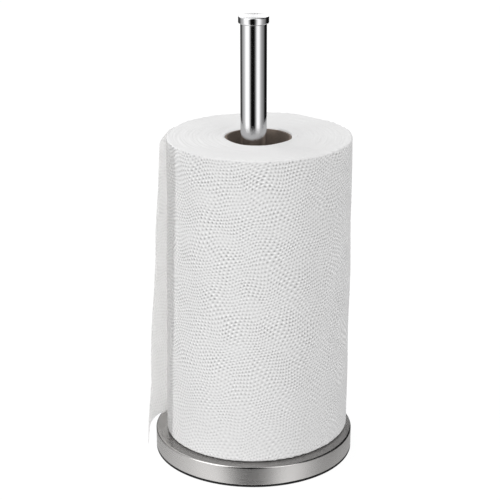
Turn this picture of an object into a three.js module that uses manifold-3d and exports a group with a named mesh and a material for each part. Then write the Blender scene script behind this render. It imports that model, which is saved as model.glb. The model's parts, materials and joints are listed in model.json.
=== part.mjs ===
// Paper towel holder: a weighted round base, a polished post with a disc cap, and a kitchen roll on it.
// Millimetres, +Z up. The origin is on the post's axis, on the table. -Y is the front, +X is to the right.
import * as THREE from "three";
import { mergeVertices } from "three/addons/utils/BufferGeometryUtils.js";
import Module from "manifold-3d";

const wasm = await Module();
wasm.setup();

// Driving dimensions.
const GAP = 0.3; // left between neighbouring pieces

const BASE_RADIUS = 75;
const BASE_HEIGHT = 16;
const SHEET_METAL = 0.8; // thickness of the drawn cover
const TOP_EDGE_RADIUS = 1.3; // outside radius of the cover's top edge
const LIP_RADIUS = 1.2; // outside radius of the rolled lower edge
const LIP_WIDTH = 0.6; // flat of the lip beyond its radius
const LIP_BOTTOM = 1.4; // height of the lip above the table

const PAD_THICKNESS = 1.1;
const PAD_INSET = 0.9; // from the cover's wall in to the pad's edge
const PLATE_THICKNESS = 2;
const BALLAST_WEB = 2.6; // iron left above the bolt's counterbore

const TUBE_RADIUS = 9.5;
const TUBE_WALL = 1;
const HOLDER_HEIGHT = 333.2;
const CAP_RADIUS = 11;
const CAP_THICKNESS = 5;
const INSERT_LENGTH = 20;

const BOLT_RADIUS = 4; // M8
const BOLT_HEAD_RADIUS = 7;
const BOLT_HEAD_HEIGHT = 4.3;
const BOLT_LENGTH = 24;
const BOLT_SOCKET = { radius: 2.9, depth: 2.4 };
const COUNTERBORE_RADIUS = 9.5;
const FLAT_WASHER = { radius: 8, thickness: 1.2 };
const SPRING_WASHER = { radius: 6.9, thickness: 1.6, split: 1.6 };
const SEAL_THICKNESS = 0.8;
const STUD_RADIUS = 3; // M6
const STUD_LENGTH = 16;
const STUD_IN_CAP = 3.2;

const PLATE_SCREWS = { count: 4, circle: 52 };
const PLATE_SCREW = { radius: 2, headRadius: 3.7, headHeight: 1.9, rim: 0.3, length: 9 };
const SCREW_SOCKET = { radius: 1.3, depth: 1.1 };

const ROLL_CENTRE = new THREE.Vector2(3.4, 3.9); // the roll stands loose, a little off the post's axis
const ROLL_RADIUS = 69;
const ROLL_HEIGHT = 228;
const CORE_INNER_RADIUS = 23;
const CORE_WALL = 1.4;

const SHEET_THICKNESS = 1; // the paper and its embossing, with room for its waves
const PEEL_TOP = THREE.MathUtils.degToRad(9); // where the sheet leaves the roll, behind its leftmost line
const PEEL_BOTTOM = THREE.MathUtils.degToRad(39);
const FREE_TOP = 47; // length of the loose paper at its top edge
const FREE_BOTTOM = 91;
const END_HEADING = THREE.MathUtils.degToRad(-3); // the free edge curls back by this much
const BEND = { from: 0.3, to: 0.75 }; // shares of the free length between which the sheet bends

const ROUND = 64; // segments of the large round pieces
const SMALL_ROUND = 24; // and of the small ones
const CAP_ROUND = 40;

// Derived heights.
const plateBottom = PAD_THICKNESS + GAP;
const ballastBottom = plateBottom + PLATE_THICKNESS + GAP;
const coverInnerTop = BASE_HEIGHT - SHEET_METAL;
const ballastTop = coverInnerTop - GAP;
const counterboreTop = ballastTop - BALLAST_WEB;
const flatWasherBottom = counterboreTop - GAP - FLAT_WASHER.thickness;
const springWasherBottom = flatWasherBottom - GAP - SPRING_WASHER.thickness;
const boltHeadTop = springWasherBottom - GAP;
const boltHeadBottom = boltHeadTop - BOLT_HEAD_HEIGHT;
const tubeBottom = BASE_HEIGHT + GAP + SEAL_THICKNESS + GAP;
const capBottom = HOLDER_HEIGHT - CAP_THICKNESS;
const tubeTop = capBottom - GAP;
const rollBottom = BASE_HEIGHT + GAP;
const insertRadius = TUBE_RADIUS - TUBE_WALL - GAP;
const screwHeadBottom = plateBottom + 0.1;

const steel = { color: 0xb9b6b4, roughness: 0.32, metalness: 1 };
const chrome = { color: 0xe4e4e6, roughness: 0.08, metalness: 1 };
const zinc = { color: 0xa8aaa8, roughness: 0.4, metalness: 1 };
const iron = { color: 0x3a3a3c, roughness: 0.8, metalness: 0.7 };
const blackPlastic = { color: 0x1c1c1d, roughness: 0.6, metalness: 0 };
const rubber = { color: 0x111112, roughness: 0.9, metalness: 0 };
const cardboard = { color: 0x8d7c6b, roughness: 0.95, metalness: 0 };
const paper = { color: 0xf3f3f4, roughness: 0.95, metalness: 0 };

const holder = new THREE.Group();

// Adds one named piece with its own material to the group.
function piece(name, geometry, finish, parent = holder) {
  const mesh = new THREE.Mesh(geometry, new THREE.MeshStandardMaterial(finish));
  mesh.name = name;
  parent.add(mesh);
  return mesh;
}

// A closed solid turned about +Z from a profile of [radius, height] points that closes on itself.
// Going round anticlockwise in the (radius, height) plane makes its faces point out.
function turned(profile, segments = ROUND) {
  const points = profile.map(([r, z]) => new THREE.Vector2(r, z));
  points.push(points[0].clone());
  const lathe = new THREE.LatheGeometry(points, segments);
  return lathe.rotateX(Math.PI / 2);
}

// The points of an arc in the (radius, height) plane, with angles in degrees.
function arc(r, z, radius, from, to, steps) {
  return Array.from({ length: steps + 1 }, (_, i) => {
    const angle = THREE.MathUtils.degToRad(from + ((to - from) * i) / steps);
    return [r + radius * Math.cos(angle), z + radius * Math.sin(angle)];
  });
}

// A plain ring or, with an inner radius of 0, a disc.
function ring(inner, outer, bottom, top, segments = ROUND) {
  return turned([[inner, bottom], [outer, bottom], [outer, top], [inner, top]], segments);
}

function solidOf(geometry) {
  const bare = new THREE.BufferGeometry();
  bare.setAttribute("position", geometry.getAttribute("position"));
  bare.setIndex(geometry.getIndex());
  const merged = mergeVertices(bare, 1e-4);
  return new wasm.Manifold(
    new wasm.Mesh({
      numProp: 3,
      vertProperties: merged.getAttribute("position").array,
      triVerts: new Uint32Array(merged.getIndex().array),
    }),
  );
}

// The geometry of one solid with others cut out of it.
function cut(geometry, tools) {
  const solid = tools.reduce((left, tool) => left.subtract(solidOf(tool)), solidOf(geometry));
  const mesh = solid.getMesh();
  const result = new THREE.BufferGeometry();
  result.setAttribute("position", new THREE.BufferAttribute(new Float32Array(mesh.vertProperties), 3));
  result.setIndex(new THREE.BufferAttribute(mesh.triVerts, 1));
  result.computeVertexNormals();
  return result;
}

// A cylinder along +Z from one height to another, used as a cutter.
function rod(radius, bottom, top, segments = SMALL_ROUND) {
  const cylinder = new THREE.CylinderGeometry(radius, radius, top - bottom, segments);
  cylinder.rotateX(Math.PI / 2);
  return cylinder.translate(0, 0, (bottom + top) / 2);
}

// Drawn cover: flat top with a bolt hole, rounded top edge, straight wall, lower edge rolled in.
function baseCover() {
  const hole = BOLT_RADIUS + GAP;
  const wall = BASE_RADIUS;
  const innerTopRadius = TOP_EDGE_RADIUS - SHEET_METAL;
  const innerLipRadius = LIP_RADIUS - SHEET_METAL;
  const topCentre = wall - TOP_EDGE_RADIUS;
  const lipCentre = wall - LIP_RADIUS;
  const lipHeight = LIP_BOTTOM + LIP_RADIUS;
  const profile = [
    [lipCentre - LIP_WIDTH, LIP_BOTTOM],
    ...arc(lipCentre, lipHeight, LIP_RADIUS, -90, 0, 4),
    ...arc(topCentre, BASE_HEIGHT - TOP_EDGE_RADIUS, TOP_EDGE_RADIUS, 0, 90, 6),
    [hole, BASE_HEIGHT],
    [hole, coverInnerTop],
    ...arc(topCentre, BASE_HEIGHT - TOP_EDGE_RADIUS, innerTopRadius, 90, 0, 4),
    ...arc(lipCentre, lipHeight, innerLipRadius, 0, -90, 2),
    [lipCentre - LIP_WIDTH, LIP_BOTTOM + SHEET_METAL],
  ];
  return turned(profile);
}

// Places of the four plate screws, on the diagonals.
const screwPlaces = Array.from({ length: PLATE_SCREWS.count }, (_, i) => {
  const angle = (2 * Math.PI * (i + 0.5)) / PLATE_SCREWS.count;
  return new THREE.Vector2(Math.cos(angle), Math.sin(angle)).multiplyScalar(PLATE_SCREWS.circle);
});

// Cast-iron weight: bolt hole, counterbore for the bolt's head, blind holes for the plate's screws.
function ballastDisc() {
  const outer = BASE_RADIUS - SHEET_METAL - 1.7 * GAP;
  const chamfer = TOP_EDGE_RADIUS;
  const disc = turned([
    [BOLT_RADIUS + GAP, counterboreTop],
    [COUNTERBORE_RADIUS, counterboreTop],
    [COUNTERBORE_RADIUS, ballastBottom],
    [outer - chamfer, ballastBottom],
    [outer, ballastBottom + chamfer],
    [outer, ballastTop - chamfer],
    [outer - chamfer, ballastTop],
    [BOLT_RADIUS + GAP, ballastTop],
  ]);
  const holeTop = screwHeadBottom + PLATE_SCREW.length + GAP;
  const holes = screwPlaces.map(({ x, y }) =>
    rod(PLATE_SCREW.radius + GAP, ballastBottom - 1, holeTop).translate(x, y, 0),
  );
  return cut(disc, holes);
}

// A countersunk shape: a straight shank with a cone that widens downwards to the head's rim.
function countersunk(bottom, top, clearance) {
  const shank = PLATE_SCREW.radius + clearance;
  const head = PLATE_SCREW.headRadius + clearance;
  return turned(
    [
      [0, bottom],
      [head, bottom],
      [head, screwHeadBottom + PLATE_SCREW.rim],
      [shank, screwHeadBottom + PLATE_SCREW.headHeight],
      [shank, top],
      [0, top],
    ],
    SMALL_ROUND,
  );
}

// Closing plate, let into the mouth of the cover.
function bottomPlate() {
  const outer = BASE_RADIUS - LIP_RADIUS - LIP_WIDTH - GAP;
  const disc = ring(0, outer, plateBottom, plateBottom + PLATE_THICKNESS);
  const cutters = screwPlaces.map(({ x, y }) =>
    countersunk(plateBottom - 1, ballastBottom, GAP).translate(x, y, 0),
  );
  return cut(disc, cutters);
}

// Non-slip disc, just under the cover's lip.
function nonslipPad() {
  const outer = BASE_RADIUS - PAD_INSET;
  const bevel = 0.3;
  return turned([
    [0, 0],
    [outer - bevel, 0],
    [outer, bevel],
    [outer, PAD_THICKNESS],
    [0, PAD_THICKNESS],
  ]);
}

function plateScrew() {
  const body = countersunk(screwHeadBottom, screwHeadBottom + PLATE_SCREW.length, 0);
  const socket = rod(SCREW_SOCKET.radius, 0, screwHeadBottom + SCREW_SOCKET.depth, 6);
  return cut(body, [socket]);
}

// M8 button-head bolt, head down, with a hexagon socket.
function postBolt() {
  const headEdge = 1.2; // straight rim under the dome
  const body = turned(
    [
      [0, boltHeadBottom],
      [BOLT_HEAD_RADIUS * 0.55, boltHeadBottom],
      [BOLT_HEAD_RADIUS * 0.85, boltHeadBottom + 1.4],
      [BOLT_HEAD_RADIUS, boltHeadTop - headEdge],
      [BOLT_HEAD_RADIUS, boltHeadTop],
      [BOLT_RADIUS, boltHeadTop],
      [BOLT_RADIUS, boltHeadTop + BOLT_LENGTH - 1],
      [BOLT_RADIUS - 1, boltHeadTop + BOLT_LENGTH],
      [0, boltHeadTop + BOLT_LENGTH],
    ],
    SMALL_ROUND,
  );
  const socket = rod(BOLT_SOCKET.radius, 0, boltHeadBottom + BOLT_SOCKET.depth, 6);
  return cut(body, [socket]);
}

function flatWasher() {
  const top = flatWasherBottom + FLAT_WASHER.thickness;
  return ring(BOLT_RADIUS + GAP, FLAT_WASHER.radius, flatWasherBottom, top, SMALL_ROUND);
}

// Split spring washer: a ring cut through at a slant.
function springWasher() {
  const { radius, thickness } = SPRING_WASHER;
  const top = springWasherBottom + thickness;
  const whole = ring(BOLT_RADIUS + GAP, radius, springWasherBottom, top, SMALL_ROUND);
  const split = new THREE.BoxGeometry(2 * radius, SPRING_WASHER.split, 4 * thickness);
  split.rotateX(THREE.MathUtils.degToRad(30));
  split.translate(radius, 0, springWasherBottom + thickness / 2);
  return cut(whole, [split]);
}

function footSeal() {
  const bottom = BASE_HEIGHT + GAP;
  return ring(BOLT_RADIUS + GAP, TUBE_RADIUS - 0.2, bottom, bottom + SEAL_THICKNESS, SMALL_ROUND);
}

function postTube() {
  return ring(TUBE_RADIUS - TUBE_WALL, TUBE_RADIUS, tubeBottom, tubeTop);
}

// Threaded plug for one end of the tube, with a chamfer at both ends.
function tubeInsert(bottom, hole) {
  const top = bottom + INSERT_LENGTH;
  const chamfer = 0.8;
  return turned(
    [
      [hole, bottom],
      [insertRadius - chamfer, bottom],
      [insertRadius, bottom + chamfer],
      [insertRadius, top - chamfer],
      [insertRadius - chamfer, top],
      [hole, top],
    ],
    SMALL_ROUND,
  );
}

// Disc cap with eased edges and a blind hole for its stud.
function postCap() {
  const ease = 0.6;
  const hole = STUD_RADIUS + GAP;
  const holeTop = capBottom + STUD_IN_CAP + GAP;
  return turned(
    [
      [0, holeTop],
      [hole, holeTop],
      [hole, capBottom],
      ...arc(CAP_RADIUS - ease, capBottom + ease, ease, -90, 0, 3),
      ...arc(CAP_RADIUS - ease, HOLDER_HEIGHT - ease, ease, 0, 90, 3),
      [0, HOLDER_HEIGHT],
    ],
    CAP_ROUND,
  );
}

function capStud() {
  const top = capBottom + STUD_IN_CAP;
  const bottom = top - STUD_LENGTH;
  const chamfer = 0.7;
  return turned(
    [
      [0, bottom],
      [STUD_RADIUS - chamfer, bottom],
      [STUD_RADIUS, bottom + chamfer],
      [STUD_RADIUS, top - chamfer],
      [STUD_RADIUS - chamfer, top],
      [0, top],
    ],
    SMALL_ROUND,
  );
}

function rollCore() {
  return ring(CORE_INNER_RADIUS, CORE_INNER_RADIUS + CORE_WALL, rollBottom, rollBottom + ROLL_HEIGHT);
}

function paperRoll() {
  const inner = CORE_INNER_RADIUS + CORE_WALL + GAP;
  return ring(inner, ROLL_RADIUS, rollBottom, rollBottom + ROLL_HEIGHT);
}

// The loose end of the last sheet. It leaves the roll at a tangent, along a line that slants back towards
// the bottom, and its curl brings the free edge round to face the front again. A point of it is given by
// its share of the free length (along), its distance from the middle of the paper, towards the roll (off),
// and its height above the paper's lower edge.
function sheetPoint(along, off, height) {
  const down = 1 - height / ROLL_HEIGHT;
  const peel = THREE.MathUtils.lerp(PEEL_TOP, PEEL_BOTTOM, down);
  const free = THREE.MathUtils.lerp(FREE_TOP, FREE_BOTTOM, down);
  const radius = ROLL_RADIUS + GAP + SHEET_THICKNESS / 2;
  const place = new THREE.Vector2(-Math.cos(peel), Math.sin(peel)).multiplyScalar(radius);
  const steps = 24;
  let heading = peel;
  for (let i = 0; i < steps; i++) {
    const travelled = (along * (i + 0.5)) / steps;
    const bent = THREE.MathUtils.smoothstep(travelled, BEND.from, BEND.to);
    heading = THREE.MathUtils.lerp(peel, END_HEADING, bent);
    const step = new THREE.Vector2(-Math.sin(heading), -Math.cos(heading));
    place.addScaledVector(step, (free * along) / steps);
  }
  place.x += off * Math.cos(heading);
  place.y -= off * Math.sin(heading);
  return new THREE.Vector3(place.x, place.y, rollBottom + height);
}

function looseSheet() {
  const slab = new THREE.BoxGeometry(1, SHEET_THICKNESS, ROLL_HEIGHT, 14, 1, 8);
  slab.translate(0.5, 0, ROLL_HEIGHT / 2);
  const corners = slab.getAttribute("position");
  const corner = new THREE.Vector3();
  for (let i = 0; i < corners.count; i++) {
    corner.fromBufferAttribute(corners, i);
    corners.setXYZ(i, ...sheetPoint(corner.x, corner.y, corner.z));
  }
  return slab;
}

piece("base_cover", baseCover(), steel);
piece("ballast_disc", ballastDisc(), iron);
piece("bottom_plate", bottomPlate(), blackPlastic);
piece("nonslip_pad", nonslipPad(), rubber);
screwPlaces.forEach(({ x, y }, i) => {
  piece(`plate_screw_${i + 1}`, plateScrew(), zinc).position.set(x, y, 0);
});
piece("post_bolt", postBolt(), zinc);
piece("flat_washer", flatWasher(), zinc);
piece("spring_washer", springWasher(), zinc);
piece("foot_seal", footSeal(), rubber);
piece("lower_insert", tubeInsert(tubeBottom, BOLT_RADIUS + GAP), zinc);
piece("post_tube", postTube(), chrome);
piece("upper_insert", tubeInsert(tubeTop - INSERT_LENGTH, STUD_RADIUS + GAP), zinc);
piece("cap_stud", capStud(), zinc);
piece("post_cap", postCap(), chrome);

const roll = new THREE.Group();
roll.position.set(ROLL_CENTRE.x, ROLL_CENTRE.y, 0);
holder.add(roll);
piece("roll_core", rollCore(), cardboard, roll);
piece("paper_roll", paperRoll(), paper, roll);
piece("loose_sheet", looseSheet(), paper, roll);

export default holder;
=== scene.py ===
"""The looks of a loaded paper towel holder: brushed base, polished post, embossed roll with a loose sheet.

Metres, +Z up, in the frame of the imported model. The front is -Y, and the loose sheet is on the left, at -X.
"""
import json
import math
from collections import namedtuple

import bpy
import numpy as np
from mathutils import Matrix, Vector


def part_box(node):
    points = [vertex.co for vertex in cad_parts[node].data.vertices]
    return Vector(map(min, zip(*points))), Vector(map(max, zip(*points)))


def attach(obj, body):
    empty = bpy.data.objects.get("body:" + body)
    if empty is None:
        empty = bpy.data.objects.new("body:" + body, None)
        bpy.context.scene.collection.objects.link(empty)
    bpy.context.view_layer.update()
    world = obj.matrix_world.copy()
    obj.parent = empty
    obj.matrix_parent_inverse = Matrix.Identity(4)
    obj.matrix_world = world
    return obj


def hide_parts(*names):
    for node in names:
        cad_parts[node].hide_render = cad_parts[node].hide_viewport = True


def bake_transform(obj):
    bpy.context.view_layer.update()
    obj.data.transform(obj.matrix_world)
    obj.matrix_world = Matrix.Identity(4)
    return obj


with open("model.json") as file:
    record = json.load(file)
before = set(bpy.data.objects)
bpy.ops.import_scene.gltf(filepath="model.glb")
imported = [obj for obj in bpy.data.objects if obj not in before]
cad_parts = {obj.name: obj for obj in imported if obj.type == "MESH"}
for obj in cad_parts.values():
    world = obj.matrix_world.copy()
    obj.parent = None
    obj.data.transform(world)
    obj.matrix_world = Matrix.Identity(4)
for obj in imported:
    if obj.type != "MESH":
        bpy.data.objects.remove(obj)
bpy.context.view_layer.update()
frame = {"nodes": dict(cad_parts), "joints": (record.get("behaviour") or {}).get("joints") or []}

MM = 0.001
scene = bpy.context.scene
scene.view_settings.view_transform = "Standard"


# Camera: in front, looking down on the holder.

CAMERA_PLACE = (0, -1.1047, 0.5485)
CAMERA_TILT = math.radians(19.48)  # below the horizon
CAMERA_LENS = 113.46
CAMERA_SHIFT = -0.0072  # the holder stands a little right of the middle

camera_data = bpy.data.cameras.new("camera")
camera_data.lens = CAMERA_LENS
camera_data.sensor_width = 36
camera_data.shift_x = CAMERA_SHIFT
camera = bpy.data.objects.new("camera", camera_data)
camera.location = CAMERA_PLACE
camera.rotation_euler = (math.pi / 2 - CAMERA_TILT, 0, 0)
scene.collection.objects.link(camera)
scene.camera = camera


# Places and sizes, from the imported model.

base_low, base_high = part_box("base_cover")
pad_low, pad_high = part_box("nonslip_pad")
tube_low, tube_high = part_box("post_tube")
cap_low, cap_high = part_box("post_cap")
core_low, core_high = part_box("roll_core")
roll_low, roll_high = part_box("paper_roll")

ROLL_X, ROLL_Y = (roll_low.x + roll_high.x) / 2, (roll_low.y + roll_high.y) / 2
ROLL_RADIUS = (roll_high.x - roll_low.x) / 2
ROLL_BOTTOM, ROLL_TOP = roll_low.z, roll_high.z
ROLL_HEIGHT = ROLL_TOP - ROLL_BOTTOM
CORE_RADIUS = (core_high.x - core_low.x) / 2
peel = next(joint for joint in frame["joints"] if joint["name"] == "sheet_peel")


# Mesh helpers.


def mesh_object(name, vertices, faces, sharp=None):
    """A smooth-shaded object from vertices and faces; edges that turn by more than sharp stay crisp."""
    mesh = bpy.data.meshes.new(name)
    mesh.from_pydata([tuple(v) for v in vertices], [], faces)
    mesh.validate()
    mesh.shade_smooth()
    if sharp is not None:
        mesh.set_sharp_from_angle(angle=sharp)
    made = bpy.data.objects.new(name, mesh)
    scene.collection.objects.link(made)
    return made


def grid_faces(rows, columns, wrap_rows=False, wrap_columns=False):
    """The quads of a grid whose vertex (row, column) is number row * columns + column."""
    row = np.arange(rows if wrap_rows else rows - 1)
    column = np.arange(columns if wrap_columns else columns - 1)
    row, column = (a.ravel() for a in np.meshgrid(row, column, indexing="ij"))
    below, above = row * columns, (row + 1) % rows * columns
    after = (column + 1) % columns
    return np.stack([below + column, below + after, above + after, above + column], axis=1).tolist()


def turned(name, profile, segments, centre=(0.0, 0.0), sharp=math.radians(50)):
    """A closed solid turned about a vertical line. The profile is (radius, height) points, anticlockwise.

    It closes on itself, or begins and ends on the axis, where each end is one vertex.
    """
    on_axis = profile[0][0] == 0
    rings = profile[1:-1] if on_axis else profile
    angle = np.arange(segments) * (2 * math.pi / segments)
    radius, height = np.array(rings)[:, :1], np.array(rings)[:, 1:]
    x = centre[0] + radius * np.cos(angle)
    y = centre[1] + radius * np.sin(angle)
    z = np.repeat(height, segments, axis=1)
    vertices = np.stack([x, y, z], axis=2).reshape(-1, 3).tolist()
    faces = grid_faces(len(rings), segments, wrap_rows=not on_axis, wrap_columns=True)
    if on_axis:
        first, last = len(vertices), len(vertices) + 1
        vertices += [[*centre, profile[0][1]], [*centre, profile[-1][1]]]
        top = (len(rings) - 1) * segments
        for i in range(segments):
            after = (i + 1) % segments
            faces.append([first, after, i])
            faces.append([last, top + i, top + after])
    return mesh_object(name, vertices, faces, sharp)


def arc(radius, height, bend, start, end, steps):
    """Points of an arc of a profile, round (radius, height), with angles in degrees."""
    angles = np.radians(np.linspace(start, end, steps + 1))
    return [(radius + bend * math.cos(a), height + bend * math.sin(a)) for a in angles]


Waves = namedtuple("Waves", "height length")


def ripples(u, v, wavelength, seed, waves=7):
    """Smooth noise between about -1 and 1: plane waves of mixed directions, near one wavelength."""
    random = np.random.RandomState(seed)
    total = np.zeros(np.broadcast(u, v).shape)
    for _ in range(waves):
        heading = random.uniform(0, 2 * math.pi)
        number = 2 * math.pi / (wavelength * random.uniform(0.7, 1.5))
        start = random.uniform(0, 2 * math.pi)
        total += np.sin(number * (u * math.cos(heading) + v * math.sin(heading)) + start)
    return total / math.sqrt(waves)


def press(piece, depth):
    """Keeps how deep each vertex is pressed, from which the paper's material paints shade: 1 in a pit,
    -PILLOW on a pillow.
    """
    layer = piece.data.attributes.new("pressed", "FLOAT", "POINT")
    layer.data.foreach_set("value", np.ravel(depth).astype(np.float32))


def smooth(low, high, value):
    """0 below low, 1 above high, and a smooth step between."""
    share = np.clip((value - low) / (high - low), 0, 1)
    return share * share * (3 - 2 * share)


# Material helpers.


def add(tree, kind, inputs=None, **settings):
    """Adds a shader node. inputs holds values, or sockets to link."""
    made = tree.nodes.new("ShaderNode" + kind)
    for key, value in settings.items():
        setattr(made, key, value)
    for key, value in (inputs or {}).items():
        if isinstance(value, bpy.types.NodeSocket):
            tree.links.new(value, made.inputs[key])
        else:
            made.inputs[key].default_value = value
    return made


def math_node(tree, operation, *values):
    """The result of one Math node."""
    made = add(tree, "Math", dict(enumerate(values)), operation=operation)
    return made.outputs[0]


def blended(tree, share, first, second):
    """The colour first where share is 0, second where it is 1, and between them a mix."""
    inputs = {"Factor": share, "A": first, "B": second}
    return add(tree, "Mix", inputs, data_type="RGBA").outputs["Result"]


def scaled(tree, value, low, high):
    """Maps 0..1 to low..high."""
    return add(tree, "MapRange", {"Value": value, "To Min": low, "To Max": high}).outputs[0]


def in_window(tree, value, low, high, soft):
    """1 where low < value < high, fading over soft at each side."""
    fades = []
    for start, end in ((low - soft, low + soft), (high + soft, high - soft)):
        fade = add(tree, "MapRange", {"Value": value, "From Min": start, "From Max": end})
        fades.append(fade.outputs[0])
    return math_node(tree, "MULTIPLY", *fades)


def material(name):
    """A new material, its node tree and its principled shader."""
    made = bpy.data.materials.new(name)
    made.use_nodes = True
    return made, made.node_tree, made.node_tree.nodes["Principled BSDF"]


def give(piece, finish):
    """Makes finish the piece's only material."""
    piece.data.materials.clear()
    piece.data.materials.append(finish)


def object_place(tree):
    return add(tree, "TexCoord").outputs["Object"]


def noise(tree, vector, scale, detail=2.0, roughness=0.5):
    inputs = {"Vector": vector, "Scale": scale, "Detail": detail, "Roughness": roughness}
    return add(tree, "TexNoise", inputs).outputs["Fac"]


BUMP_STRENGTH = 0.6
BLACK = (0, 0, 0, 1)


def bump(tree, height, distance):
    inputs = {"Height": height, "Distance": distance, "Strength": BUMP_STRENGTH}
    return add(tree, "Bump", inputs).outputs["Normal"]


# Materials.


def round_the_post(tree):
    """The direction round the vertical axis, the distance from it, and the height, at the shaded point."""
    place = add(tree, "SeparateXYZ", {"Vector": object_place(tree)}).outputs
    out = add(tree, "CombineXYZ", {"X": place["X"], "Y": place["Y"]}).outputs[0]
    distance = add(tree, "VectorMath", {0: out}, operation="LENGTH").outputs["Value"]
    outward = add(tree, "VectorMath", {0: out}, operation="NORMALIZE").outputs[0]
    return outward, distance, place["Z"]


def brushing(tree, fineness, laps):
    """Streaks that run round the vertical axis: fineness per metre across them, slow along them."""
    outward, distance, height = round_the_post(tree)
    along = add(tree, "VectorMath", {0: outward, 1: (laps, laps, laps)}, operation="MULTIPLY").outputs[0]
    upward = add(tree, "CombineXYZ", {"Z": math_node(tree, "MULTIPLY", height, fineness)}).outputs[0]
    vector = add(tree, "VectorMath", {0: along, 1: upward}, operation="ADD").outputs[0]
    outward_place = math_node(tree, "MULTIPLY", distance, fineness)
    inputs = {"Vector": vector, "W": outward_place, "Detail": 3.0, "Roughness": 0.6}
    return add(tree, "TexNoise", inputs, noise_dimensions="4D").outputs["Fac"]


def grooved(tree, streaks, tilt):
    """A normal that fine grooves tip across the brushing, by tilt at the most."""
    outward = round_the_post(tree)[0]
    along = add(tree, "VectorMath", {0: (0, 0, 1), 1: outward}, operation="CROSS_PRODUCT").outputs[0]
    normal = add(tree, "NewGeometry").outputs["Normal"]
    across = add(tree, "VectorMath", {0: normal, 1: along}, operation="CROSS_PRODUCT").outputs[0]
    span = {"From Min": 0.25, "From Max": 0.75, "To Min": -tilt, "To Max": tilt}
    tip = add(tree, "MapRange", {"Value": streaks, **span}).outputs[0]
    tipped = add(tree, "VectorMath", {0: across, "Scale": tip}, operation="SCALE").outputs[0]
    total = add(tree, "VectorMath", {0: normal, 1: tipped}, operation="ADD").outputs[0]
    return add(tree, "VectorMath", {0: total}, operation="NORMALIZE").outputs[0]


GROOVE_TILT = 0.08


def turned_steel(name, dark, light, roughness, fineness, edge_polish=0.0):
    """Stainless steel brushed round the vertical axis, with faint smears.

    Its rounded upper edges are smoother than the rest, by the share edge_polish.
    """
    made, tree, shader = material(name)
    streaks = brushing(tree, fineness=fineness, laps=3)
    broad = brushing(tree, fineness=fineness / 12, laps=1.2)
    smears = noise(tree, object_place(tree), 35, detail=5, roughness=0.65)
    colour = blended(tree, scaled(tree, broad, 0.1, 0.9), (*dark, 1), (*light, 1))
    tree.links.new(colour, shader.inputs["Base Color"])
    worn = math_node(tree, "ADD", scaled(tree, smears, -0.02, 0.03), scaled(tree, broad, -0.02, 0.02))
    upward = add(tree, "SeparateXYZ", {"Vector": add(tree, "NewGeometry").outputs["Normal"]}).outputs["Z"]
    edge = in_window(tree, upward, 0.2, 0.9, 0.08)
    finish = math_node(tree, "MULTIPLY", scaled(tree, edge, 1.0, 1 - edge_polish), roughness)
    tree.links.new(math_node(tree, "ADD", worn, finish), shader.inputs["Roughness"])
    tree.links.new(grooved(tree, streaks, GROOVE_TILT), shader.inputs["Normal"])
    tangent = add(tree, "Tangent", direction_type="RADIAL", axis="Z").outputs[0]
    tree.links.new(tangent, shader.inputs["Tangent"])
    shader.inputs["Metallic"].default_value = 1
    shader.inputs["Anisotropic"].default_value = 0.9
    return made


PIT_PAINTED_SHADE = 0.58  # painted shade: the bottoms of the pits are painted this much darker than the tops of the pillows
PILLOW = 0.55  # how far the paper stands up between the pits, against their depth


def paper(name, mirrored_shade, blue, glow=0.0):
    """Soft white tissue: matt, faintly mottled, with fibres; glow is its translucency.

    Metal mirrors it darker than it is, by the share mirrored_shade: painted shade in its colour that only
    glossy rays see.
    """
    made, tree, shader = material(name)
    place = object_place(tree)
    mottle = noise(tree, place, 90, detail=4)
    fibres = noise(tree, place, 2600, detail=3, roughness=0.65)
    colour = blended(tree, mottle, (0.955, 0.95, blue - 0.03, 1), (0.98, 0.98, blue, 1))
    # Painted shade from the stored depth: none on the pillow tops, deepest in the pits.
    pressed = add(tree, "Attribute", attribute_name="pressed").outputs["Fac"]
    depth = {"Value": pressed, "From Min": -PILLOW, "To Min": 0.0, "To Max": PIT_PAINTED_SHADE}
    dark = add(tree, "MapRange", depth).outputs[0]
    colour = blended(tree, dark, colour, BLACK)
    mirrored = scaled(tree, add(tree, "LightPath").outputs["Is Glossy Ray"], 0.0, mirrored_shade)
    colour = blended(tree, mirrored, colour, BLACK)
    tree.links.new(colour, shader.inputs["Base Color"])
    tree.links.new(scaled(tree, fibres, 0.85, 1.0), shader.inputs["Roughness"])
    shader.inputs["Specular IOR Level"].default_value = 0.15
    shader.inputs["Sheen Weight"].default_value = 0.12
    shader.inputs["Sheen Roughness"].default_value = 0.6
    relief = bump(tree, fibres, 0.05 * MM)
    tree.links.new(relief, shader.inputs["Normal"])
    if glow:
        through = add(tree, "BsdfTranslucent", {"Color": colour, "Normal": relief})
        both = add(tree, "MixShader", {0: glow, 1: shader.outputs[0], 2: through.outputs[0]})
        tree.links.new(both.outputs[0], tree.nodes["Material Output"].inputs["Surface"])
    return made


def cardboard():
    """Grey-brown core board, grainy and blotched."""
    made, tree, shader = material("core_board")
    place = object_place(tree)
    grain = noise(tree, place, 700, detail=5, roughness=0.7)
    blotches = noise(tree, place, 60, detail=3)
    both = math_node(tree, "MULTIPLY", grain, blotches)
    colour = blended(tree, both, (0.16, 0.13, 0.11, 1), (0.36, 0.29, 0.235, 1))
    tree.links.new(colour, shader.inputs["Base Color"])
    shader.inputs["Roughness"].default_value = 0.9
    tree.links.new(bump(tree, grain, 0.08 * MM), shader.inputs["Normal"])
    return made


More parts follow.
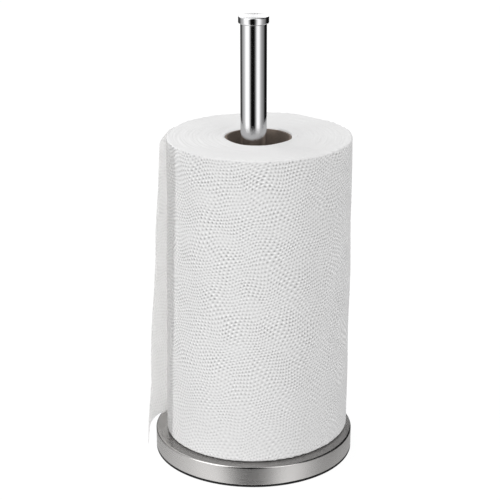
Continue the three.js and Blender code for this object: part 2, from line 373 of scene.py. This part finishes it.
def speckled(name, colour, roughness, grain, depth, metallic=0.0):
    """A plain solid finish with a fine grain in its colour, roughness and surface."""
    made, tree, shader = material(name)
    place = object_place(tree)
    fine = noise(tree, place, grain, detail=4, roughness=0.6)
    broad = noise(tree, place, grain / 25, detail=2)
    dark, light = [(*(part * share for part in colour), 1) for share in (0.75, 1.25)]
    tree.links.new(blended(tree, broad, dark, light), shader.inputs["Base Color"])
    spread = scaled(tree, fine, roughness - 0.1, min(1.0, roughness + 0.1))
    tree.links.new(spread, shader.inputs["Roughness"])
    tree.links.new(bump(tree, fine, depth), shader.inputs["Normal"])
    shader.inputs["Metallic"].default_value = metallic
    return made


STEEL = turned_steel(
    "brushed_steel",
    dark=(0.53, 0.515, 0.505),
    light=(0.62, 0.61, 0.60),
    roughness=0.27,
    fineness=3000,
    edge_polish=0.6,
)
POLISHED = turned_steel(
    "polished_steel",
    dark=(0.80, 0.80, 0.81),
    light=(0.86, 0.86, 0.87),
    roughness=0.07,
    fineness=5000,
)
PAPER = paper("kitchen_paper", mirrored_shade=0.45, blue=0.98)
SHEET_PAPER = paper("loose_paper", mirrored_shade=0.2, blue=0.975, glow=0.75)
BOARD = cardboard()
RUBBER = speckled("black_rubber", (0.012, 0.012, 0.013), 0.8, 1800, 0.06 * MM)
PLASTIC = speckled("black_plastic", (0.02, 0.02, 0.021), 0.55, 2500, 0.02 * MM)
IRON = speckled("cast_iron", (0.06, 0.06, 0.065), 0.7, 900, 0.25 * MM, metallic=0.8)
ZINC = speckled("zinc_steel", (0.48, 0.49, 0.47), 0.38, 1500, 0.01 * MM, metallic=1.0)


# Metal pieces.

SHEET_METAL = 0.8 * MM
TOP_EDGE = 1.3 * MM  # outside radius of the cover's top edge
LIP = 1.2 * MM  # outside radius of its rolled lower edge
LIP_WIDTH = 0.6 * MM
LIP_SAG = 0.25 * MM  # the lip comes this much closer to the pad
BOLT_HOLE = 4.3 * MM


def base_cover():
    """Drawn cover: flat top, rounded edge, straight wall, lower edge rolled in."""
    wall, top, bottom = base_high.x, base_high.z, base_low.z - LIP_SAG
    edge_centre, lip_centre = wall - TOP_EDGE, wall - LIP
    edge_height, lip_height = top - TOP_EDGE, bottom + LIP
    profile = [
        (lip_centre - LIP_WIDTH, bottom),
        *arc(lip_centre, lip_height, LIP, -90, 0, 8),
        *arc(edge_centre, edge_height, TOP_EDGE, 0, 90, 12),
        (edge_centre * 0.66, top),
        (edge_centre * 0.33, top),
        (BOLT_HOLE, top),
        (BOLT_HOLE, top - SHEET_METAL),
        *arc(edge_centre, edge_height, TOP_EDGE - SHEET_METAL, 90, 0, 6),
        *arc(lip_centre, lip_height, LIP - SHEET_METAL, 0, -90, 4),
        (lip_centre - LIP_WIDTH, bottom + SHEET_METAL),
    ]
    piece = turned("drawn_base_cover", profile, 288, sharp=math.radians(60))
    give(piece, STEEL)
    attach(piece, "stand")
    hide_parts("base_cover")


def post_tube():
    """Welded tube, polished, with its ends eased."""
    radius, bore, ease = tube_high.x, tube_high.x - 1.0 * MM, 0.25 * MM
    profile = [
        *arc(radius - ease, tube_low.z + ease, ease, -90, 0, 3),
        *arc(radius - ease, tube_high.z - ease, ease, 0, 90, 3),
        *arc(bore + ease, tube_high.z - ease, ease, 90, 180, 3),
        *arc(bore + ease, tube_low.z + ease, ease, 180, 270, 3),
    ]
    piece = turned("polished_post", profile, 192)
    give(piece, POLISHED)
    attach(piece, "stand")
    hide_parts("post_tube")


def post_cap():
    """Disc cap with eased edges and a blind hole for its stud."""
    radius, ease = cap_high.x, 0.7 * MM
    stud_hole, hole_top = 3.3 * MM, cap_low.z + 3.5 * MM
    profile = [
        (0, hole_top),
        (stud_hole, hole_top),
        (stud_hole, cap_low.z),
        *arc(radius - ease, cap_low.z + ease, ease, -90, 0, 6),
        *arc(radius - ease, cap_high.z - ease, ease, 0, 90, 6),
        (0, cap_high.z),
    ]
    piece = turned("polished_cap", profile, 192)
    give(piece, POLISHED)
    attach(piece, "stand")
    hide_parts("post_cap")


PAD_BULGE = 0.85 * MM  # the weight presses the pad out by this much


def nonslip_pad():
    """Rubber disc with eased edges and fine rings moulded in its underside."""
    radius, ease = pad_high.x + PAD_BULGE, 0.15 * MM
    groove_width, groove_depth, groove_pitch = 0.8 * MM, 0.35 * MM, 6.0 * MM
    profile = [(0, pad_low.z)]
    for ring in range(2, 12):
        start = ring * groove_pitch
        profile += [
            (start, pad_low.z),
            (start + 0.25 * groove_width, pad_low.z + groove_depth),
            (start + 0.75 * groove_width, pad_low.z + groove_depth),
            (start + groove_width, pad_low.z),
        ]
    profile += arc(radius - ease, pad_low.z + ease, ease, -90, 0, 4)
    profile += [(radius, pad_high.z), (0, pad_high.z)]
    piece = turned("rubber_pad", profile, 192, sharp=math.radians(30))
    give(piece, RUBBER)
    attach(piece, "stand")
    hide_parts("nonslip_pad")


# Embossed paper. u is the distance round the roll and v the height, both in metres.

DOT_PITCH = 2.85 * MM
DOT_ROWS = math.radians(13)  # the rows climb to the right
DOT_RADIUS = 0.66 * MM
DOT_DEPTH = 0.75 * MM
DOT_STRAY = 0.25 * MM
ROW_WANDER = 1.6 * MM  # the rows bend, in patches about as wide as ROW_PATCH
ROW_PATCH = 36 * MM
PATCHINESS = 0.2  # how much the embossing's strength varies, in patches as wide as STRENGTH_PATCH
STRENGTH_PATCH = 25 * MM
LAYER = 0.35 * MM  # thickness of one layer of the wound paper


def scatter(column, row, kind):
    """A repeatable number from -1 to 1 for each dot."""
    mixed = np.sin(12.9898 * column + 78.233 * row + 37.719 * kind) * 43758.5453
    return 2 * (mixed - np.floor(mixed)) - 1


def embossing(u, v):
    """Depth at (u, v): round pits in hexagonal packing, a little uneven, with raised pillows between them."""
    first = DOT_PITCH * np.array([math.cos(DOT_ROWS), math.sin(DOT_ROWS)])
    second = DOT_PITCH * np.array([math.cos(DOT_ROWS + math.pi / 3), math.sin(DOT_ROWS + math.pi / 3)])
    wander_u, wander_v = (ROW_WANDER * ripples(u, v, ROW_PATCH, seed) for seed in (3, 4))
    u, v = u + wander_u, v + wander_v
    across = np.linalg.inv(np.array([first, second]).T)
    s, t = across[0, 0] * u + across[0, 1] * v, across[1, 0] * u + across[1, 1] * v
    pits, pillows = np.zeros(u.shape), np.zeros(u.shape)
    for i in (-1, 0, 1, 2):
        for j in (-1, 0, 1, 2):
            column, row = np.floor(s) + i, np.floor(t) + j
            du = u - column * first[0] - row * second[0] - DOT_STRAY * scatter(column, row, 1)
            dv = v - column * first[1] - row * second[1] - DOT_STRAY * scatter(column, row, 2)
            own = 0.8 + 0.2 * scatter(column, row, 3)
            pits = np.maximum(pits, own * np.exp(-(du**2 + dv**2) / DOT_RADIUS**2))
            du, dv = du - (first[0] + second[0]) / 3, dv - (first[1] + second[1]) / 3
            pillows = np.maximum(pillows, own * np.exp(-(du**2 + dv**2) / DOT_RADIUS**2))
    patches = 1 + PATCHINESS * ripples(u, v, STRENGTH_PATCH, seed=5)
    return DOT_DEPTH * patches * (pits - PILLOW * pillows)


def peel_angle(height):
    """How far behind the leftmost line of the roll the sheet leaves it, from the hinge's own line."""
    place, axis = np.array(peel["pos_m"]), np.array(peel["axis"])
    along = (height - place[2]) / axis[2]
    x, y = place[0] + along * axis[0] - ROLL_X, place[1] + along * axis[1] - ROLL_Y
    return np.arctan2(y, -x)


ROLL_LEAN = (1.7 * MM, 3.0 * MM)  # the roll's top stands this much further right and back than its foot
FOOT_FLARE = 0.7 * MM  # the roll is this much wider at its foot than at half its height
FOOT_OVAL = 2.0 * MM  # and squeezed out of round by this much
OVAL_TURN = math.radians(-130)  # the direction in which the foot bulges, from +X
RIM = 0.9 * MM  # softness of the roll's upper edge
FOOT_RIM = 1.6 * MM  # and of its lower edge
PILLOW_ROOM = 0.4 * MM  # the side is this much further in, and the pillows stand out of it
PAPER_STEP = 0.44 * MM  # spacing of the paper's mesh
FOOT_EMBOSSING = 0.55  # strength of the embossing at the roll's foot, against the rest
SINK = 0.15 * MM  # the paper's foot may settle this far below the roll's CAD solid
SIDE_WAVES = Waves(0.25 * MM, 90 * MM)
LAYER_WAVES = Waves(0.10 * MM, 1.9 * MM)  # edges of the layers on the top face
TOP_WAVES = Waves(0.35 * MM, 45 * MM)
FRAY_WAVES = Waves(0.25 * MM, 6 * MM)  # upper rim
TEAR_WAVES = Waves(0.35 * MM, 5 * MM)  # lower rim
ENDS_LESS_PAINTED_SHADE = 0.15  # the roll's ends get less painted shade than its side, by this share of the pits' depth


def rise(height):
    """0 at the roll's foot and 1 at its top."""
    return (height - ROLL_BOTTOM) / ROLL_HEIGHT


def lean(height):
    """How far the leaning roll is out of the upright, to the right and to the back."""
    share = rise(height) - 0.5
    return ROLL_LEAN[0] * share, ROLL_LEAN[1] * share


def swelling(turn, height):
    """How much wider than the upright roll the real one is, in the direction turn from +X."""
    low = 1 - rise(height)
    return FOOT_FLARE * (2 * low - 1) + FOOT_OVAL * low**2 * np.cos(2 * (turn - OVAL_TURN))


def roll_profile():
    """(radius, height) round the section of the wound paper, anticlockwise."""
    inner = CORE_RADIUS + 0.25 * MM
    side = np.linspace(ROLL_BOTTOM + FOOT_RIM, ROLL_TOP - RIM, round(ROLL_HEIGHT / PAPER_STEP))
    rings = round((ROLL_RADIUS - inner) / (1.5 * PAPER_STEP))
    flat = np.linspace(ROLL_RADIUS - RIM, inner + RIM / 2, rings)
    bore = np.linspace(ROLL_TOP - RIM, ROLL_BOTTOM + RIM, 12)
    points = arc(ROLL_RADIUS - FOOT_RIM, ROLL_BOTTOM + FOOT_RIM, FOOT_RIM, -90, 0, 5)[:-1]
    points += [(ROLL_RADIUS, z) for z in side]
    points += arc(ROLL_RADIUS - RIM, ROLL_TOP - RIM, RIM, 0, 90, 4)[1:-1]
    points += [(r, ROLL_TOP) for r in flat]
    points += [(inner, z) for z in bore]
    points += [(r, ROLL_BOTTOM) for r in flat[::-2][:-2]]
    return np.array(points)


def wound_paper():
    """The wound roll: a ring whose side is embossed and whose ends show the layers' edges."""
    profile = roll_profile()
    columns = round(2 * math.pi * ROLL_RADIUS / PAPER_STEP)
    angle = np.arange(columns) * (2 * math.pi / columns)
    radius = np.repeat(profile[:, :1], columns, axis=1)
    height = np.repeat(profile[:, 1:], columns, axis=1)
    turn = np.repeat(angle[None, :], len(profile), axis=0)
    round_way = ROLL_RADIUS * turn
    outside = smooth(ROLL_RADIUS - 1.5 * FOOT_RIM, ROLL_RADIUS - 0.2 * FOOT_RIM, radius)  # 1 on the side

    # The outer layer ends where the loose sheet leaves, so the radius falls by one layer there.
    from_peel = (turn - (math.pi - peel_angle(height))) % (2 * math.pi)
    radius = radius - outside * (LAYER * (1 - from_peel / (2 * math.pi)) + PILLOW_ROOM)
    radius = radius + outside * SIDE_WAVES.height * ripples(round_way, height, SIDE_WAVES.length, seed=11)

    # The bore stays round and upright, so that the roll can turn. Only the paper outside it leans and swells.
    share = (radius - CORE_RADIUS) / (ROLL_RADIUS - CORE_RADIUS)
    radius = radius + share * swelling(turn, height)

    # Pits, which fade out at the pressed edges.
    rim_distance = np.minimum(height - ROLL_BOTTOM, ROLL_TOP - height)
    worn = FOOT_EMBOSSING + (1 - FOOT_EMBOSSING) * smooth(0.0, 0.4, rise(height))
    strength = worn * smooth(0.3 * MM, 1.5 * MM, rim_distance)
    pits = outside * strength * embossing(round_way, height)
    radius = radius - pits

    # Ends: edges of the layers, a little uneven, a frayed upper rim and a lightly torn lower one.
    top_face = smooth(ROLL_TOP - 1.5 * RIM, ROLL_TOP, height)
    low_face = smooth(ROLL_BOTTOM + 1.5 * FOOT_RIM, ROLL_BOTTOM, height)
    winding = radius + 0.4 * MM * np.sin(turn) + LAYER * turn / (2 * math.pi)
    layers = LAYER_WAVES.height * ripples(winding, 0.03 * round_way, LAYER_WAVES.length, seed=21, waves=9)
    place = radius * np.cos(turn), radius * np.sin(turn)
    swell = TOP_WAVES.height * ripples(*place, TOP_WAVES.length, seed=22)
    height = height + top_face * (layers + swell)
    fray = outside * smooth(ROLL_TOP - 3 * MM, ROLL_TOP - 0.3 * MM, height)
    height = height + fray * FRAY_WAVES.height * ripples(round_way, 0 * round_way, FRAY_WAVES.length, seed=24)
    tear = np.clip(ripples(round_way, 0 * round_way, TEAR_WAVES.length, seed=23), -1, 1) ** 3
    height = height + low_face * outside * (0.25 * MM + TEAR_WAVES.height * tear)
    height = np.maximum(height, ROLL_BOTTOM - SINK)

    right, back = lean(height)
    x = ROLL_X + radius * np.cos(turn) + share * right
    y = ROLL_Y + radius * np.sin(turn) + share * back
    vertices = np.stack([x, y, height], axis=2).reshape(-1, 3)
    faces = grid_faces(len(profile), columns, wrap_rows=True, wrap_columns=True)
    piece = mesh_object("wound_paper", vertices, faces)
    # The depth passed on drives the painted shade in the pits, with less of it on the ends.
    press(piece, pits / DOT_DEPTH - ENDS_LESS_PAINTED_SHADE * (1 - outside))
    give(piece, PAPER)
    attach(piece, "roll")
    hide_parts("paper_roll")


# The loose sheet. s is the distance along it from the line where it leaves the roll.

FREE_TOP = 49 * MM
FREE_BOTTOM = 91 * MM
SHEET_ROOT = 14 * MM  # of the sheet still lies on the roll behind the peel line
ROOT_DEPTH = 0.45 * MM  # how far under the roll's surface that part begins
ROOT_LIFT = 0.6 * MM  # and how much it rises before the sheet leaves the roll
CURL_END = math.radians(-3)
BEND_FROM, BEND_TO = 0.3, 0.75  # shares of the free length between which the sheet bends
SHEET_EMBOSSING = 0.35  # how deep the pits are in the single sheet, against those in the roll
SHEET_LESS_PAINTED_SHADE = 0.25  # the single sheet gets less painted shade than the roll, by this share of the pits' depth
SHEET_STEP = 0.5 * MM  # spacing of the sheet's mesh
RAGGED_WAVES = Waves(0.25 * MM, 5 * MM)  # torn edge
EDGE_WAVES = Waves(0.4 * MM, 38 * MM)  # torn edge, broadly
SHEET_WAVES = Waves(0.3 * MM, 70 * MM)  # out of its surface
SHEET_PAPER_THICKNESS = 0.3 * MM


def free_length(height):
    """Length of the loose paper at a height, up to its torn edge."""
    down = (ROLL_TOP - height) / ROLL_HEIGHT
    ragged = RAGGED_WAVES.height * ripples(height, 0 * height, RAGGED_WAVES.length, seed=31)
    wavy = EDGE_WAVES.height * ripples(height, 0 * height, EDGE_WAVES.length, seed=32)
    return FREE_TOP + (FREE_BOTTOM - FREE_TOP) * down + ragged + wavy


def sheet_middle(s, height, length):
    """(x, y) of the sheet's middle surface and its heading, at a distance s past the peel line."""
    behind = peel_angle(height)
    on_roll = np.minimum(s, 0)
    lift = smooth(-SHEET_ROOT, -0.4 * SHEET_ROOT, s) * ROOT_LIFT - ROOT_DEPTH
    start = behind - on_roll / ROLL_RADIUS
    radius = ROLL_RADIUS + lift + swelling(math.pi - start, height)
    right, back = lean(height)
    x = ROLL_X - radius * np.cos(start) + right
    y = ROLL_Y + radius * np.sin(start) + back
    steps = 32
    share = np.maximum(s, 0) / length
    for i in range(steps):
        travelled = share * (i + 0.5) / steps
        heading = behind + (CURL_END - behind) * smooth(BEND_FROM, BEND_TO, travelled)
        x = x - np.sin(heading) * np.maximum(s, 0) / steps
        y = y - np.cos(heading) * np.maximum(s, 0) / steps
    heading = np.where(s > 0, behind + (CURL_END - behind) * smooth(BEND_FROM, BEND_TO, share), start)
    return x, y, heading


def loose_sheet():
    """The end of the last sheet: thin, embossed through, ragged at its torn edge."""
    rows, columns = round(ROLL_HEIGHT / SHEET_STEP), round((FREE_BOTTOM + SHEET_ROOT) / SHEET_STEP)
    levels = np.linspace(ROLL_BOTTOM + 0.4 * MM, ROLL_TOP - 0.3 * MM, rows)
    height = np.repeat(levels[:, None], columns, axis=1)
    length = free_length(height)
    s = -SHEET_ROOT + (SHEET_ROOT + length) * np.linspace(0, 1, columns)[None, :]
    x, y, heading = sheet_middle(s, height, length)
    free = smooth(2 * MM, 25 * MM, s)
    out = free * SHEET_WAVES.height * ripples(s, height, SHEET_WAVES.length, seed=41)
    peel_line = ROLL_RADIUS * (math.pi - peel_angle(height))
    pits = SHEET_EMBOSSING * embossing(peel_line + s, height)
    sides = []
    for side in (1, -1):
        off = out + side * SHEET_PAPER_THICKNESS / 2 - pits
        place = [x - np.cos(heading) * off, y + np.sin(heading) * off, height]
        sides.append(np.stack(place, axis=2).reshape(-1, 3))
    count = rows * columns
    outer = np.array(grid_faces(rows, columns))
    inner = outer[:, ::-1] + count
    rim = [np.arange(columns), columns * np.arange(1, rows) + columns - 1]
    rim += [np.arange(count - 2, count - columns - 1, -1), columns * np.arange(rows - 2, 0, -1)]
    rim = np.concatenate(rim)
    after = np.roll(rim, -1)
    edge = np.stack([after, rim, rim + count, after + count], axis=1)
    faces = np.concatenate([outer, inner, edge]).tolist()
    piece = mesh_object("loose_sheet_end", np.concatenate(sides), faces, sharp=math.radians(70))
    # The depth passed on drives the painted shade in the pits, with less of it on the single sheet.
    press(piece, np.concatenate([pits, pits]) / DOT_DEPTH - SHEET_LESS_PAINTED_SHADE)
    give(piece, SHEET_PAPER)
    hinge, axis = np.array(peel["pos_m"]), np.array(peel["axis"])
    angle = float(peel_angle(hinge[2]))
    forward = np.array([-math.sin(angle), -math.cos(angle), 0.0])
    forward -= forward @ axis * axis
    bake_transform(piece)
    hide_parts("loose_sheet")


def core_tube():
    """Cardboard core, its end a little below the paper's."""
    outer, inner, short = CORE_RADIUS, CORE_RADIUS - 1.4 * MM, 0.8 * MM
    low, high = core_low.z + 0.2 * MM, core_high.z - short
    profile = [(outer, low), (outer, high), (inner, high), (inner, low)]
    piece = turned("cardboard_core", profile, 160, centre=(ROLL_X, ROLL_Y))
    give(piece, BOARD)
    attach(piece, "core")
    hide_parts("roll_core")


# Hidden hardware keeps its CAD shape and gets its finish.

HIDDEN_FINISHES = {
    "ballast_disc": IRON,
    "bottom_plate": PLASTIC,
    "foot_seal": RUBBER,
    "post_bolt": ZINC,
    "flat_washer": ZINC,
    "spring_washer": ZINC,
    "lower_insert": ZINC,
    "upper_insert": ZINC,
    "cap_stud": ZINC,
    **{f"plate_screw_{i}": ZINC for i in range(1, 5)},
}


def finish_hidden():
    for name, finish in HIDDEN_FINISHES.items():
        give(frame["nodes"][name], finish)


# Studio. The camera sees plain white, a soft sky lights the surfaces, and metal mirrors a room with cards.


# What metal mirrors: rings of lamps and dark gaps, by azimuth in degrees, and brightness.
# Azimuth 0 is in front of the holder, and 90 to its right. The post mirrors the upper ring and the base's
# wall, which is seen from higher up, mostly the lower one.
RING = [
    (-180, 0.0),
    (-140, 0.015),
    (-120, 0.12),
    (-105, 0.42),
    (-90, 0.52),
    (-76, 0.9),
    (-68, 1.3),
    (-46, 1.25),
    (-36, 0.8),
    (-28, 0.25),
    (-21, 0.005),
    (5, 0.002),
    (14, 0.15),
    (24, 0.72),
    (34, 1.2),
    (48, 1.15),
    (62, 0.6),
    (74, 0.36),
    (94, 0.22),
    (110, 0.008),
    (180, 0.0),
]
LOW_RING = [
    (-180, 0.45),
    (-122, 0.65),
    (-100, 0.8),
    (-78, 0.9),
    (-62, 1.25),
    (-50, 1.5),
    (-38, 1.5),
    (-30, 1.0),
    (-22, 0.02),
    (-9, 0.05),
    (8, 0.02),
    (20, 0.35),
    (32, 1.55),
    (44, 1.6),
    (58, 0.9),
    (76, 0.45),
    (97, 0.4),
    (125, 0.6),
    (180, 0.45),
]
LOW_RING_TOP = -22  # elevation
# Cards above and behind: from and to azimuth, from and to elevation, and brightness.
CARDS = [
    (160, 181, 4, 17, 1.6),
    (-181, -160, 4, 17, 1.6),
    (95, 181, 19, 75, 0.01),
    (-181, -100, 19, 75, 1.0),
    (-181, 181, 62, 91, 0.95),
    (-28, 14, 14, 91, 0.01),
    (-75, -36, 12, 75, 2.8),
    (24, 50, 12, 75, 1.5),
    (58, 130, 8, 75, 0.02),
]
CARD_EDGE = 3.0
SKY_LOW, SKY_HIGH = 0.02, 1.08  # straight down and straight up
SKY_SLANT = 0.25  # the sky is this much brighter on the left, and darker on the right


def ring_colour(tree, turn, stops):
    ramp = add(tree, "ValToRGB", {"Fac": turn})
    elements = ramp.color_ramp.elements
    for index, (azimuth, level) in enumerate(stops):
        stop = elements[index] if index < 2 else elements.new(1.0)
        stop.position = (azimuth + 180) / 360
        stop.color = (level, level, level, 1)
    return ramp.outputs["Color"]


def mirrored_room(tree, azimuth, elevation):
    turn = add(tree, "MapRange", {"Value": azimuth, "From Min": -180.0, "From Max": 180.0}).outputs[0]
    low = in_window(tree, elevation, -91, LOW_RING_TOP, CARD_EDGE)
    level = blended(tree, low, ring_colour(tree, turn, RING), ring_colour(tree, turn, LOW_RING))
    for west, east, bottom, top, brightness in CARDS:
        window = math_node(
            tree,
            "MULTIPLY",
            in_window(tree, azimuth, west, east, CARD_EDGE),
            in_window(tree, elevation, bottom, top, CARD_EDGE),
        )
        level = blended(tree, window, level, (brightness, brightness, brightness, 1))
    return level


def studio_world():
    world = bpy.data.worlds.new("studio")
    world.use_nodes = True
    tree = world.node_tree
    tree.nodes.clear()
    place = add(tree, "SeparateXYZ", {"Vector": add(tree, "TexCoord").outputs["Generated"]}).outputs
    to_front = math_node(tree, "MULTIPLY", place["Y"], -1.0)
    azimuth = math_node(tree, "DEGREES", math_node(tree, "ARCTAN2", place["X"], to_front))
    elevation = math_node(tree, "DEGREES", math_node(tree, "ARCSINE", place["Z"]))
    rise_light = {"Value": place["Z"], "From Min": -1.0, "To Min": SKY_LOW, "To Max": SKY_HIGH}
    side_light = {"Value": place["X"], "From Min": -1.0, "To Min": 1 + SKY_SLANT, "To Max": 1 - SKY_SLANT}
    sky = math_node(
        tree,
        "MULTIPLY",
        add(tree, "MapRange", rise_light).outputs[0],
        add(tree, "MapRange", side_light).outputs[0],
    )
    seen = add(tree, "Background", {"Color": (1, 1, 1, 1)})
    soft = add(tree, "Background", {"Color": (1, 1, 1, 1), "Strength": sky})
    shiny = add(tree, "Background", {"Color": mirrored_room(tree, azimuth, elevation)})
    ray = add(tree, "LightPath").outputs
    inner = add(tree, "MixShader", {0: ray["Is Glossy Ray"], 1: soft.outputs[0], 2: shiny.outputs[0]})
    outer = add(tree, "MixShader", {0: ray["Is Camera Ray"], 1: inner.outputs[0], 2: seen.outputs[0]})
    output = add(tree, "OutputWorld")
    tree.links.new(outer.outputs[0], output.inputs["Surface"])
    scene.world = world


def floor():
    """Pale floor, mostly glowing so that it stays near white, with a faint contact shadow."""
    made, tree, shader = material("pale_floor")
    place = object_place(tree)
    tint = blended(tree, noise(tree, place, 3), (0.10, 0.10, 0.10, 1), (0.11, 0.11, 0.11, 1))
    tree.links.new(tint, shader.inputs["Base Color"])
    shader.inputs["Roughness"].default_value = 1
    shader.inputs["Specular IOR Level"].default_value = 0
    shader.inputs["Emission Color"].default_value = (1, 1, 1, 1)
    shader.inputs["Emission Strength"].default_value = 0.93
    half = 6.0
    corners = [(-half, -half, 0), (half, -half, 0), (half, half, 0), (-half, half, 0)]
    piece = mesh_object("floor", corners, [(0, 1, 2, 3)])
    give(piece, made)
    piece.visible_glossy = False
    piece.visible_diffuse = False


HOLDER_MIDDLE = 0.15  # height that the lamps point at


def softbox(name, azimuth, elevation, distance, size, power):
    """A square lamp, distance away from the middle of the holder, that metal doesn't mirror."""
    light = bpy.data.lights.new(name, "AREA")
    light.size = size
    light.energy = power
    turn, climb = math.radians(azimuth), math.radians(elevation)
    out = Vector((math.sin(turn) * math.cos(climb), -math.cos(turn) * math.cos(climb), math.sin(climb)))
    made = bpy.data.objects.new(name, light)
    made.location = Vector((0, 0, HOLDER_MIDDLE)) + distance * out
    made.rotation_euler = out.to_track_quat("Z", "Y").to_euler()
    made.visible_glossy = False
    scene.collection.objects.link(made)


def studio_lights():
    softbox("key", azimuth=-57, elevation=7, distance=2.0, size=0.3, power=11.5)
    softbox("fill", azimuth=38, elevation=6, distance=2.0, size=0.6, power=13)
    softbox("side", azimuth=-100, elevation=5, distance=1.6, size=1.0, power=1)
    softbox("rim", azimuth=-135, elevation=20, distance=1.8, size=0.6, power=6)


base_cover()
post_tube()
post_cap()
nonslip_pad()
core_tube()
wound_paper()
loose_sheet()
finish_hidden()
studio_world()
floor()
studio_lights()
